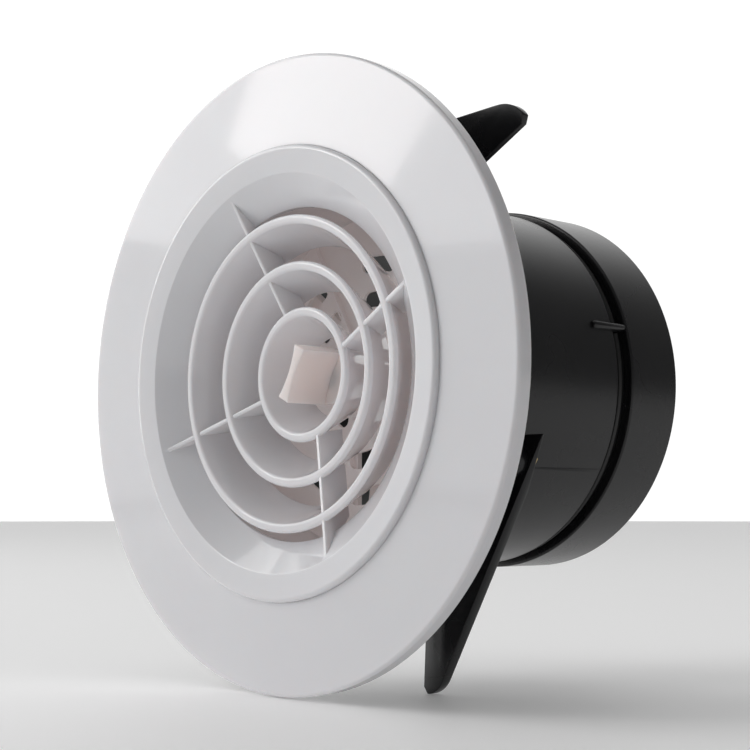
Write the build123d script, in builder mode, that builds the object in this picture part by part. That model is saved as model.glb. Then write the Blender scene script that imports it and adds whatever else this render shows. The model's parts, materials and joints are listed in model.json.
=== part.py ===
from build123d import *
from math import cos, radians, sin, sqrt
import os

# Adjustable round air vent: a white face with a louvre grille, a fan-leaf damper turned by a
# central knob, a black duct body with a rear spigot collar, and three swing-out clamp wings.
#
# Frame: +Y runs along the duct axis into the wall or ceiling void, -Y faces the room, +Z is up.
# The origin is on the axis, in the plane where the face meets the panel. Sizes are millimetres.
# Angles are in degrees in the cross plane, measured from +X towards +Z.

# ---- overall sizes and shared clearances ----------------------------------------------------
FACE_R = 80.0            # outer radius of the face
DUCT_R = 49.0            # outside of the duct body
DUCT_WALL = 2.4
DUCT_END_Y = 70.3        # the duct's full diameter ends here, at the groove
RUN_CLEARANCE = 0.05     # radial, where one piece turns in another
AXIAL_GAP = 0.1          # between pieces that turn face to face
FIT_GAP = 0.2            # radial, where one moulding drops into another
OVERCUT = 1.0            # how far a cutter passes the surface that it opens

# ---- grille ------------------------------------------------------------------------------
MOUTH_OVER_DUCT = 1.0    # the funnel's mouth is this much wider than the duct
MOUTH_DROP = 0.8         # the collar's front slopes back by this much to the mouth
MOUTH_EDGE = 0.6         # rounding of the mouth
COLLAR_WIDTH = 7.0       # from the mouth to the foot of the raised collar
CREST_INSET = 1.7        # rounded shoulder of the collar
CREST_STAND = 1.4        # how far the collar stands proud of the face
FUNNEL_WIDTH = 7.8
FUNNEL_DEPTH = 6.5
FUNNEL_WALL = 1.6
THROAT_TAIL = 1.5        # straight stretch behind the funnel
SKIRT_WALL = 1.5
SKIRT_DEPTH = 3.0
NIB_STAND = 0.5          # snap nibs on the skirt
NIB_HEIGHT = 0.7
NIB_SPAN = 9.0
NIB_COUNT = 4
NIB_ANGLE = 66.0
RING_COUNT = 3           # louvre rings
RING_THROAT_GAP = 3.0    # from the throat to the middle of the outer ring's lip
RING_KNOB_GAP = 9.15     # from the knob's sweep to the middle of the inner ring's lip
RING_MOUTH_DROP = 3.2    # the outer ring's lip lies this far behind the mouth
RING_LIP = 2.8           # wall at the front lip
RING_LIP_EDGE = 0.9      # rounding of the lip
RING_TAIL = 1.3          # wall at the back
RING_DEPTH = 12.5
RING_TAPER = 6.2         # how much the radius falls over the depth
LIP_SLOPE = 0.245        # the lips lie on a shallow cone, deepest in the middle
SPOKE_COUNT = 4
SPOKE_ANGLE = 22.0
SPOKE_THICK = 1.2
SPOKE_SINK = 0.25        # spokes lie a little behind the ring lips
SPOKE_DEPTH = 9.0
SPOKE_ROOT = 0.5         # how far spokes run into the funnel's wall

# ---- face plate -------------------------------------------------------------------------
RIM_DEPTH = 4.1          # from the panel to the front edge of the rim
RIM_WALL = 1.8
RIM_EDGE = 0.9
FACE_RISE = 0.7          # the face is this much prouder at the collar than at its rim
FACE_WALL = 2.0
FACE_SEAT_Y = -4.0       # where the grille rests in the face
RECESS_GAP = 1.0         # between the duct body's ring and the face's recess
GASKET_GAP = 0.5

# ---- duct body and rear collar -------------------------------------------------------------
BODY_RING_OVERLAP = 1.5  # the ring behind the face reaches this far past the collar
BODY_RING_THICK = 3.5
COUNTERBORE_DEPTH = 1.6
BORE_CHAMFER = 2.2       # lets the funnel pass
NECK_STEP = 1.4          # how far the neck lies below the body's outside
GROOVE_WIDTH = 4.45      # from the body's step to the rear collar
COLLAR_OVERLAP = 11.55   # length of neck inside the rear collar
COLLAR_STAND = 1.2       # the rear collar stands this proud of the duct
REAR_COLLAR_LENGTH = 19.55
COLLAR_EDGE = 0.6
SEAL_BEAD_R = 0.8
SEAL_RIB_GAP = 0.3
RIB_ANGLE = 16.0         # small orientation rib across the groove
RIB_LENGTH = 8.3
RIB_R = 1.1

# ---- damper ----------------------------------------------------------------------------
FRAME_WALL = 1.8
FRAME_THROAT_GAP = 0.6   # from the funnel's tail to the damper frame
ARM_COUNT = 3
ARM_WIDTH = 5.0
ARM_DEPTH = 3.0
ARM_GAP = 2.8            # behind the last leaf
BOSS_R = 8.0
LEAF_COUNT = 7           # one fixed and six moving
LEAF_RING_GAP = 2.65     # behind the deepest louvre ring
LEAF_PITCH = 1.8
LEAF_THICK = 0.9
LEAF_SPAN = 54.0
LEAF_STEP = 48.0         # between leaves as drawn
LEAF_START = 0.0         # clockwise edge of the fixed leaf
LEAF_EDGE_GAP = 0.6      # leaf tips inside the damper frame
LEAF_HUB_R = 8.6
LEAF_ROOT = 0.5          # how far lips and blades run into the hub
LIP_SPAN = 1.1
LIP_HEIGHT = 0.6
SLOT_COUNT = 3           # arc slots in each leaf
SLOT_HUB_GAP = 1.5
SLOT_PITCH = 9.4
SLOT_WIDTH = 4.2
SLOT_SPAN = 16.0
SLOT_OFFSET = 15.0       # slot middle from the clockwise edge
SLEEVE_WALL = 2.0        # sleeve on which the leaves turn
SPINDLE_R = 3.0
SPINDLE_TAIL = 2.1
WASHER_R = 6.0
WASHER_THICK = 0.8
CLIP_THICK = 1.0
CLIP_WIDTH = 2.4
CLIP_GROOVE = 0.6

# ---- knob ------------------------------------------------------------------------------
KNOB_FRONT_Y = 0.3
KNOB_LENGTH = 12.7
KNOB_HEIGHT = 14.0
KNOB_END_WIDTH = 4.2
KNOB_WAIST = 1.0         # how deep each broad side is hollowed
KNOB_EDGE = 0.25
KNOB_ANGLE = 64.5        # direction of the long side as drawn
KNOB_DISC_THICK = 2.2
KNOB_HUB_R = 4.6
KNOB_LEAF_GAP = 0.2
KNOB_SOCKET_COVER = 0.4  # left in front of the spindle's socket

# ---- clamp wings --------------------------------------------------------------------------
WING_COUNT = 3
PIVOT_OUT = 5.0          # pivots lie this far outside the duct
PIVOT_ANGLE = -24.0
WING_FRONT_Y = 28.4
WING_THICK = 3.2
WING_DIRECTION = -119.0  # from the pivot towards the tip, as drawn
WING_FOLD = 20.0         # swing from clamped to folded
WING_FORWARD = (0.0, 8.6, 0.0)   # how far each clamp is drawn towards the face
WING_OPENED = (0.0, 2.3, 0.0)    # how far each wing is swung out from the drawn direction
WING_DUCT_GAP = 0.6
WING_HUB_R = 4.6
WING_HUB_STAND = 2.8     # hub in front of the blade
# outline along u, from the pivot to the tip, and v, from the pivot outwards
WING_OUT = 5.6
WING_EDGE_END_U = 59.0
WING_TIP_MID = (63.4, 4.3)
WING_TIP = (65.8, 1.8)
WING_TIP_CORNER = (65.0, -0.3)
WING_HOLLOW_END_U = 50.0
WING_HOLLOW_START_U = 1.0
WING_ROOT_IN = (-4.6, -3.6)
WING_ROOT_U = -9.66
RAMP_START_U = 6.0       # the blade thins from here to its root
RAMP_RISE = 2.7
FACET_AT = (46.6, -0.4)  # the blade's front slopes away inwards of a crease through here
FACET_ANGLE = 29.0
FACET_WIDTH = 12.0
FACET_DROP = 2.0
FACET_REACH = 21.0

# ---- clamp screws and nuts -----------------------------------------------------------------
SCREW_R = 1.75
SCREW_HEAD_R = 2.75
SCREW_HEAD_THICK = 1.8
SCREW_TAIL = 0.8
HEAD_GAP = 0.15
NUT_R = 3.0
NUT_FLANGE_R = 4.0
NUT_FLANGE_THICK = 1.2
NUT_FLARE_R = 3.9        # front end, flared over to keep the wing
NUT_FLARE_THICK = 0.6
SCREW_CLIP_THICK = 0.7
SCREW_CLIP_WIDTH = 1.1

# ---- fixing screws of the face ----------------------------------------------------------------
FIX_ANGLE = 36.0
FIX_HEAD_R = 2.8
FIX_HEAD_THICK = 1.4
FIX_SHANK_R = 1.4
DRIVE_WIDTH = 0.9        # cross recess of the screw heads
DRIVE_REACH = 0.7        # share of the head that the recess takes
DRIVE_DEPTH = 0.8

# ---- sizes that follow from the ones above ---------------------------------------------------
DUCT_BORE_R = DUCT_R - DUCT_WALL
NECK_R = DUCT_R - NECK_STEP
REAR_COLLAR_R = DUCT_R + COLLAR_STAND
COLLAR_START_Y = DUCT_END_Y + GROOVE_WIDTH
NECK_END_Y = COLLAR_START_Y + COLLAR_OVERLAP
COLLAR_END_Y = COLLAR_START_Y + REAR_COLLAR_LENGTH

FACE_TOP_Y = -RIM_DEPTH - FACE_RISE
FACE_BACK_Y = FACE_SEAT_Y + FACE_WALL
MOUTH_R = DUCT_R + MOUTH_OVER_DUCT
COLLAR_R = MOUTH_R + COLLAR_WIDTH
CREST_R = COLLAR_R - CREST_INSET
CREST_Y = FACE_TOP_Y - CREST_STAND
MOUTH_Y = CREST_Y + MOUTH_DROP
THROAT_R = MOUTH_R - FUNNEL_WIDTH
THROAT_Y = MOUTH_Y + FUNNEL_DEPTH
THROAT_END_Y = THROAT_Y + THROAT_TAIL
SKIRT_R = MOUTH_R + FIT_GAP * 2
SKIRT_IN_R = SKIRT_R - SKIRT_WALL
SKIRT_BACK_Y = FACE_SEAT_Y + SKIRT_DEPTH
FACE_BORE_R = SKIRT_R + FIT_GAP
COUNTERBORE_R = SKIRT_R + NIB_STAND + FIT_GAP
BODY_RING_R = COLLAR_R + BODY_RING_OVERLAP
BODY_RING_BACK_Y = FACE_BACK_Y + BODY_RING_THICK
RECESS_R = BODY_RING_R + RECESS_GAP

RING_OUTER_R = THROAT_R - RING_THROAT_GAP
RING_INNER_R = KNOB_HEIGHT / 2 + RING_KNOB_GAP
RING_FRONT_Y = MOUTH_Y + RING_MOUTH_DROP

LEAF_FRONT_Y = RING_FRONT_Y + (RING_OUTER_R - RING_INNER_R) * LIP_SLOPE + RING_DEPTH + LEAF_RING_GAP
FRAME_BORE_R = DUCT_BORE_R - FRAME_WALL
FRAME_FRONT_Y = THROAT_END_Y + FRAME_THROAT_GAP
ARM_FRONT_Y = LEAF_FRONT_Y + LEAF_COUNT * LEAF_PITCH + ARM_GAP
FRAME_BACK_Y = ARM_FRONT_Y + ARM_DEPTH
LEAF_TIP_R = FRAME_BORE_R - LEAF_EDGE_GAP
SLEEVE_R = SPINDLE_R + SLEEVE_WALL
SPINDLE_BORE_R = SPINDLE_R + RUN_CLEARANCE
CLIP_Y = FRAME_BACK_Y + WASHER_THICK + AXIAL_GAP

KNOB_BACK_Y = KNOB_FRONT_Y + KNOB_LENGTH
KNOB_DISC_BACK_Y = KNOB_BACK_Y + KNOB_DISC_THICK
KNOB_HUB_BACK_Y = LEAF_FRONT_Y - KNOB_LEAF_GAP
SPINDLE_FRONT_Y = KNOB_BACK_Y + KNOB_SOCKET_COVER

PIVOT_R = DUCT_R + PIVOT_OUT
WING_BACK_Y = WING_FRONT_Y + WING_THICK
WING_HUB_Y = WING_FRONT_Y - WING_HUB_STAND
NUT_FRONT_Y = WING_HUB_Y - AXIAL_GAP - NUT_FLARE_THICK
NUT_FLANGE_Y = WING_BACK_Y + AXIAL_GAP
NUT_BACK_Y = NUT_FLANGE_Y + NUT_FLANGE_THICK
SCREW_CLIP_Y = NUT_BACK_Y + AXIAL_GAP
SCREW_END_Y = SCREW_CLIP_Y + SCREW_CLIP_THICK + SCREW_TAIL
SCREW_HEAD_Y = FACE_BACK_Y - SCREW_HEAD_THICK

os.makedirs("parts", exist_ok=True)


def save(part, name):
    """Label a finished piece and write its STEP file."""
    part.label = name
    export_step(part, f"parts/{name}.step")


def polar(radius, angle):
    """Point of a cross plane."""
    return (radius * cos(radians(angle)), radius * sin(radians(angle)))


def on_circle(radius, start, count):
    """Points spread evenly round the axis."""
    return [polar(radius, start + i * 360.0 / count) for i in range(count)]


def cross_plane(y, angle=0.0, centre=(0, 0)):
    """Plane across the duct axis at y, facing the room. Its local x points along the angle."""
    along_x, along_z = polar(1, angle)
    return Plane(origin=(centre[0], y, centre[1]), x_dir=(along_x, 0, along_z), z_dir=(0, -1, 0))


def sector(r_in, r_out, start, span):
    """Ring sector, as a face to add to the current sketch."""
    end = start + span
    mid = start + span / 2
    with BuildSketch(mode=Mode.PRIVATE) as shape:
        with BuildLine():
            Line(polar(r_in, start), polar(r_out, start))
            ThreePointArc(polar(r_out, start), polar(r_out, mid), polar(r_out, end))
            Line(polar(r_out, end), polar(r_in, end))
            ThreePointArc(polar(r_in, end), polar(r_in, mid), polar(r_in, start))
        make_face()
    return shape.sketch


PIVOTS = on_circle(PIVOT_R, PIVOT_ANGLE, WING_COUNT)
FIXINGS = on_circle(PIVOT_R, FIX_ANGLE, WING_COUNT)

# ---- face: a shallow dish with a rim, a bore for the grille and holes for the screws -----------
FACE_PROFILE = [
    (FACE_BORE_R, FACE_BACK_Y),
    (FACE_BORE_R, FACE_SEAT_Y),
    (COLLAR_R, FACE_SEAT_Y),
    (COLLAR_R, FACE_TOP_Y),
    (FACE_R, -RIM_DEPTH),
    (FACE_R, 0),
    (FACE_R - RIM_WALL, 0),
    (FACE_R - RIM_WALL, -RIM_DEPTH + FACE_WALL),
    (RECESS_R, FACE_TOP_Y + FACE_WALL),
    (RECESS_R, FACE_BACK_Y),
]

with BuildPart() as face:
    with BuildSketch(Plane.XY) as face_sketch:
        with BuildLine():
            Polyline(*FACE_PROFILE, close=True)
        make_face()
        rim_corner = face_sketch.vertices().group_by(Axis.X)[-1].sort_by(Axis.Y)[0]
        fillet(rim_corner, radius=RIM_EDGE)
    revolve(axis=Axis.Y)
    with BuildSketch(cross_plane(FACE_SEAT_Y)):
        with Locations(*PIVOTS):
            Circle(SCREW_HEAD_R + HEAD_GAP)
        with Locations(*FIXINGS):
            Circle(FIX_SHANK_R)
    extrude(amount=-FACE_WALL, mode=Mode.SUBTRACT)
    for point in FIXINGS:
        with BuildSketch(cross_plane(FACE_SEAT_Y)):
            with Locations(point):
                Circle(FIX_HEAD_R)
        with BuildSketch(cross_plane(FACE_SEAT_Y + FIX_HEAD_THICK)):
            with Locations(point):
                Circle(FIX_SHANK_R)
        loft(mode=Mode.SUBTRACT)
save(face.part, "face")

# ---- foam gasket in the recess between the body's ring and the rim ------------------------------
gasket_in = RECESS_R + GASKET_GAP
gasket_out = FACE_R - RIM_WALL - GASKET_GAP


def face_inside_y(r):
    """Back of the face's wall at radius r, between the recess and the rim."""
    share = (r - RECESS_R) / (FACE_R - RIM_WALL - RECESS_R)
    return FACE_WALL - RIM_DEPTH - FACE_RISE * (1 - share)


with BuildPart() as gasket:
    with BuildSketch(Plane.XY):
        with BuildLine():
            Polyline(
                (gasket_in, face_inside_y(gasket_in)),
                (gasket_out, face_inside_y(gasket_out)),
                (gasket_out, 0),
                (gasket_in, 0),
                close=True,
            )
        make_face()
    revolve(axis=Axis.Y)
save(gasket.part, "gasket")

# ---- grille: collar, funnel, louvre rings and spokes -------------------------------------------
funnel_run = sqrt(FUNNEL_WIDTH**2 + FUNNEL_DEPTH**2)
funnel_back_mouth_r = MOUTH_R + FUNNEL_WALL * FUNNEL_DEPTH / funnel_run
funnel_back_mouth_y = MOUTH_Y + FUNNEL_WALL * FUNNEL_WIDTH / funnel_run


def funnel_back_r(y):
    """Radius of the funnel's outside at y."""
    return funnel_back_mouth_r - (y - funnel_back_mouth_y) * FUNNEL_WIDTH / FUNNEL_DEPTH


def funnel_back_y(r):
    """Where the funnel's outside has radius r."""
    return funnel_back_mouth_y + (funnel_back_mouth_r - r) * FUNNEL_DEPTH / FUNNEL_WIDTH


def lip_y(r):
    """Front of the shallow cone on which the ring lips lie."""
    return RING_FRONT_Y + (RING_OUTER_R - r) * LIP_SLOPE


ring_step = (RING_OUTER_R - RING_INNER_R) / (RING_COUNT - 1)
ring_radii = [RING_OUTER_R - i * ring_step for i in range(RING_COUNT)]
spoke_end_r = MOUTH_R - SPOKE_ROOT
spoke_foot_r = THROAT_R + SPOKE_ROOT

with BuildPart() as grille:
    with BuildSketch(Plane.XY) as collar_sketch:
        with BuildLine():
            Line((COLLAR_R, FACE_SEAT_Y), (COLLAR_R, FACE_TOP_Y))
            TangentArc((COLLAR_R, FACE_TOP_Y), (CREST_R, CREST_Y), tangent=(0, -1))
            Polyline(
                (CREST_R, CREST_Y),
                (MOUTH_R, MOUTH_Y),
                (THROAT_R, THROAT_Y),
                (THROAT_R, THROAT_END_Y),
                (funnel_back_r(THROAT_END_Y), THROAT_END_Y),
                (SKIRT_IN_R, funnel_back_y(SKIRT_IN_R)),
                (SKIRT_IN_R, SKIRT_BACK_Y),
                (SKIRT_R, SKIRT_BACK_Y),
                (SKIRT_R, FACE_SEAT_Y),
                (COLLAR_R, FACE_SEAT_Y),
            )
        make_face()
        mouth_corner = collar_sketch.vertices().sort_by_distance((MOUTH_R, MOUTH_Y, 0))[0]
        fillet(mouth_corner, radius=MOUTH_EDGE)
    revolve(axis=Axis.Y)
    for r in ring_radii:
        front = lip_y(r)
        back = front + RING_DEPTH
        back_r = r + RING_LIP / 2 - RING_TAPER
        with BuildSketch(Plane.XY) as ring_sketch:
            with BuildLine():
                Polyline(
                    (r - RING_LIP / 2, front),
                    (r + RING_LIP / 2, front),
                    (back_r, back),
                    (back_r - RING_TAIL, back),
                    close=True,
                )
            make_face()
            lips = ring_sketch.vertices().sort_by(Axis.Y)[:2]
            fillet(lips, radius=RING_LIP_EDGE)
        revolve(axis=Axis.Y)
    for i in range(SPOKE_COUNT):
        along = cross_plane(0, SPOKE_ANGLE + i * 360.0 / SPOKE_COUNT)
        with BuildSketch(Plane(origin=(0, 0, 0), x_dir=along.x_dir, z_dir=along.y_dir)):
            with BuildLine():
                Polyline(
                    (RING_INNER_R, lip_y(RING_INNER_R) + SPOKE_SINK),
                    (spoke_end_r, lip_y(spoke_end_r) + SPOKE_SINK),
                    (spoke_foot_r, THROAT_Y + SPOKE_SINK),
                    (spoke_foot_r, THROAT_END_Y),
                    (RING_OUTER_R - SPOKE_ROOT, lip_y(RING_OUTER_R) + SPOKE_DEPTH),
                    (RING_INNER_R - RING_LIP / 2, lip_y(RING_INNER_R) + SPOKE_DEPTH),
                    close=True,
                )
            make_face()
        extrude(amount=SPOKE_THICK / 2, both=True)
    with BuildSketch(cross_plane(FACE_BACK_Y + AXIAL_GAP)):
        for i in range(NIB_COUNT):
            nib_start = NIB_ANGLE + i * 360.0 / NIB_COUNT - NIB_SPAN / 2
            add(sector(SKIRT_R - SKIRT_WALL / 2, SKIRT_R + NIB_STAND, nib_start, NIB_SPAN))
    extrude(amount=-NIB_HEIGHT)
save(grille.part, "grille")

# ---- duct body: ring, tube and neck in one moulding, with a small rib -----------------------------
counterbore_y = FACE_BACK_Y + COUNTERBORE_DEPTH
BODY_PROFILE = [
    (DUCT_BORE_R, counterbore_y + BORE_CHAMFER),
    (DUCT_BORE_R + BORE_CHAMFER, counterbore_y),
    (COUNTERBORE_R, counterbore_y),
    (COUNTERBORE_R, FACE_BACK_Y),
    (BODY_RING_R, FACE_BACK_Y),
    (BODY_RING_R, BODY_RING_BACK_Y),
    (DUCT_R, BODY_RING_BACK_Y),
    (DUCT_R, DUCT_END_Y),
    (NECK_R, DUCT_END_Y),
    (NECK_R, NECK_END_Y),
    (DUCT_BORE_R, NECK_END_Y),
]

with BuildPart() as duct_body:
    with BuildSketch(Plane.XY):
        with BuildLine():
            Polyline(*BODY_PROFILE, close=True)
        make_face()
    revolve(axis=Axis.Y)
    with BuildSketch(cross_plane(FACE_BACK_Y)):
        with Locations(*PIVOTS):
            Circle(SCREW_R + RUN_CLEARANCE)
        with Locations(*FIXINGS):
            Circle(FIX_SHANK_R)
    extrude(amount=-BODY_RING_THICK, mode=Mode.SUBTRACT)
    with BuildSketch(cross_plane(DUCT_END_Y - RIB_LENGTH)):
        with Locations(polar(DUCT_R, RIB_ANGLE)):
            Circle(RIB_R)
        Circle(NECK_R, mode=Mode.SUBTRACT)
    extrude(amount=-(RIB_LENGTH + GROOVE_WIDTH))
save(duct_body.part, "duct_body")

# ---- rear collar, a sleeve pushed over the neck ----------------------------------------------
with BuildPart() as rear_collar:
    with BuildSketch(Plane.XY) as sleeve_sketch:
        with BuildLine():
            Polyline(
                (NECK_R, COLLAR_START_Y),
                (REAR_COLLAR_R, COLLAR_START_Y),
                (REAR_COLLAR_R, COLLAR_END_Y),
                (DUCT_BORE_R, COLLAR_END_Y),
                (DUCT_BORE_R, NECK_END_Y),
                (NECK_R, NECK_END_Y),
                close=True,
            )
        make_face()
        outer_corners = sleeve_sketch.vertices().group_by(Axis.X)[-1]
        fillet(outer_corners, radius=COLLAR_EDGE)
    revolve(axis=Axis.Y)
save(rear_collar.part, "rear_collar")

# ---- sealing bead in the groove, open where the rib crosses it --------------------------------
seal_y = (DUCT_END_Y + COLLAR_START_Y) / 2
with BuildPart() as seal_ring:
    with BuildSketch(Plane.XY):
        with Locations((NECK_R, seal_y)):
            Circle(SEAL_BEAD_R)
        with Locations((NECK_R - SEAL_BEAD_R, seal_y)):
            Rectangle(2 * SEAL_BEAD_R, 4 * SEAL_BEAD_R, mode=Mode.SUBTRACT)
    revolve(axis=Axis.Y)
    with BuildSketch(cross_plane(DUCT_END_Y, RIB_ANGLE)):
        with Locations((DUCT_R, 0)):
            Rectangle(4 * NECK_STEP, 2 * (RIB_R + SEAL_RIB_GAP))
    extrude(amount=-GROOVE_WIDTH, mode=Mode.SUBTRACT)
save(seal_ring.part, "seal_ring")

# ---- damper frame: a tube pressed into the duct, with arms that carry a rear boss ------------------
with BuildPart() as damper_frame:
    with BuildSketch(cross_plane(FRAME_FRONT_Y)):
        Circle(DUCT_BORE_R)
        Circle(FRAME_BORE_R, mode=Mode.SUBTRACT)
    extrude(amount=-(FRAME_BACK_Y - FRAME_FRONT_Y))
    with BuildSketch(cross_plane(ARM_FRONT_Y)):
        with PolarLocations(0, ARM_COUNT, start_angle=SPOKE_ANGLE):
            with Locations(((FRAME_BORE_R + OVERCUT) / 2, 0)):
                Rectangle(FRAME_BORE_R + OVERCUT, ARM_WIDTH)
        Circle(BOSS_R)
        Circle(SPINDLE_BORE_R, mode=Mode.SUBTRACT)
    extrude(amount=-ARM_DEPTH)
save(damper_frame.part, "damper_frame")


# ---- damper leaves ------------------------------------------------------------------------
def leaf(index, tip_r, bore_r, rear_lip, front_lip):
    """One fan leaf: a thin sector on a round hub, with arc slots and hooked edges."""
    y = LEAF_FRONT_Y + index * LEAF_PITCH
    start = LEAF_START - index * LEAF_STEP
    slot_start = start + SLOT_OFFSET - SLOT_SPAN / 2
    root_r = LEAF_HUB_R - LEAF_ROOT
    with BuildPart() as blade:
        with BuildSketch(cross_plane(y)):
            add(sector(root_r, tip_r, start, LEAF_SPAN))
        extrude(amount=-LEAF_THICK)
        with BuildSketch(cross_plane(y)):
            for i in range(SLOT_COUNT):
                r = LEAF_HUB_R + SLOT_HUB_GAP + SLOT_WIDTH / 2 + i * SLOT_PITCH
                add(sector(r - SLOT_WIDTH / 2, r + SLOT_WIDTH / 2, slot_start, SLOT_SPAN))
                with Locations(polar(r, slot_start), polar(r, slot_start + SLOT_SPAN)):
                    Circle(SLOT_WIDTH / 2)
        extrude(amount=-LEAF_THICK, mode=Mode.SUBTRACT)
        if rear_lip:
            with BuildSketch(cross_plane(y + LEAF_THICK)):
                add(sector(root_r, tip_r, start, LIP_SPAN))
            extrude(amount=-LIP_HEIGHT)
        if front_lip:
            with BuildSketch(cross_plane(y - LIP_HEIGHT)):
                add(sector(LEAF_HUB_R + LEAF_ROOT, tip_r, start + LEAF_SPAN - LIP_SPAN, LIP_SPAN))
            extrude(amount=-LIP_HEIGHT)
        with BuildSketch(cross_plane(y)):
            Circle(LEAF_HUB_R)
            Circle(bore_r, mode=Mode.SUBTRACT)
        extrude(amount=-(LEAF_PITCH - AXIAL_GAP))
    return blade.part


last = LEAF_COUNT - 1
fixed_blade = leaf(0, FRAME_BORE_R, SPINDLE_BORE_R, rear_lip=True, front_lip=False)
with BuildPart() as fixed_leaf:
    add(fixed_blade)
    with BuildSketch(cross_plane(LEAF_FRONT_Y)):
        Circle(SLEEVE_R)
        Circle(SPINDLE_BORE_R, mode=Mode.SUBTRACT)
    extrude(amount=-(last * LEAF_PITCH - AXIAL_GAP))
save(fixed_leaf.part, "fixed_leaf")

for index in range(1, last):
    save(leaf(index, LEAF_TIP_R, SLEEVE_R + RUN_CLEARANCE, True, True), f"leaf_{index}")
save(leaf(last, LEAF_TIP_R, SPINDLE_R, False, True), f"leaf_{last}")

# ---- knob: a hollow-sided paddle on a disc, with a socket for the spindle --------------------------
half_width = KNOB_END_WIDTH / 2
half_height = KNOB_HEIGHT / 2
waist = half_width - KNOB_WAIST
with BuildPart() as knob:
    with BuildSketch(cross_plane(KNOB_FRONT_Y, KNOB_ANGLE - 90)):
        with BuildLine():
            Line((-half_width, -half_height), (half_width, -half_height))
            ThreePointArc((half_width, -half_height), (waist, 0), (half_width, half_height))
            Line((half_width, half_height), (-half_width, half_height))
            ThreePointArc((-half_width, half_height), (-waist, 0), (-half_width, -half_height))
        make_face()
    extrude(amount=-KNOB_LENGTH)
    chamfer(knob.faces().sort_by(Axis.Y)[0].edges(), length=KNOB_EDGE)
    with BuildSketch(cross_plane(KNOB_BACK_Y)):
        Circle(half_height)
    extrude(amount=-KNOB_DISC_THICK)
    with BuildSketch(cross_plane(KNOB_DISC_BACK_Y)):
        Circle(KNOB_HUB_R)
    extrude(amount=-(KNOB_HUB_BACK_Y - KNOB_DISC_BACK_Y))
    with BuildSketch(cross_plane(SPINDLE_FRONT_Y)):
        Circle(SPINDLE_R)
    extrude(amount=-(KNOB_HUB_BACK_Y - SPINDLE_FRONT_Y), mode=Mode.SUBTRACT)
save(knob.part, "knob")

# ---- spindle with its washer and clip -----------------------------------------------------------
with BuildPart() as spindle:
    with BuildSketch(cross_plane(SPINDLE_FRONT_Y)):
        Circle(SPINDLE_R)
    extrude(amount=-(CLIP_Y + CLIP_THICK + SPINDLE_TAIL - SPINDLE_FRONT_Y))
    with BuildSketch(cross_plane(CLIP_Y)):
        Circle(SPINDLE_R + OVERCUT)
        Circle(SPINDLE_R - CLIP_GROOVE, mode=Mode.SUBTRACT)
    extrude(amount=-CLIP_THICK, mode=Mode.SUBTRACT)
save(spindle.part, "spindle")

with BuildPart() as spindle_washer:
    with BuildSketch(cross_plane(FRAME_BACK_Y)):
        Circle(WASHER_R)
        Circle(SPINDLE_BORE_R, mode=Mode.SUBTRACT)
    extrude(amount=-WASHER_THICK)
save(spindle_washer.part, "spindle_washer")

clip_r = SPINDLE_R + CLIP_WIDTH
with BuildPart() as spindle_clip:
    with BuildSketch(cross_plane(CLIP_Y)):
        Circle(clip_r)
        Circle(SPINDLE_R - CLIP_GROOVE, mode=Mode.SUBTRACT)
        with Locations((clip_r / 2 + OVERCUT / 2, 0)):
            Rectangle(clip_r + OVERCUT, SPINDLE_R - CLIP_GROOVE, mode=Mode.SUBTRACT)
    extrude(amount=-CLIP_THICK)
save(spindle_clip.part, "spindle_clip")

# ---- clamp wings ------------------------------------------------------------------------------
folded_angle = PIVOT_ANGLE + 180.0 - WING_DIRECTION + WING_FOLD
folded_centre = polar(PIVOT_R, folded_angle)


def hollow_v(u):
    """Inner edge of a wing, which just clears the duct when the wing is folded against it."""
    return folded_centre[1] + sqrt((DUCT_R + WING_DUCT_GAP) ** 2 - (u - folded_centre[0]) ** 2)


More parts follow.
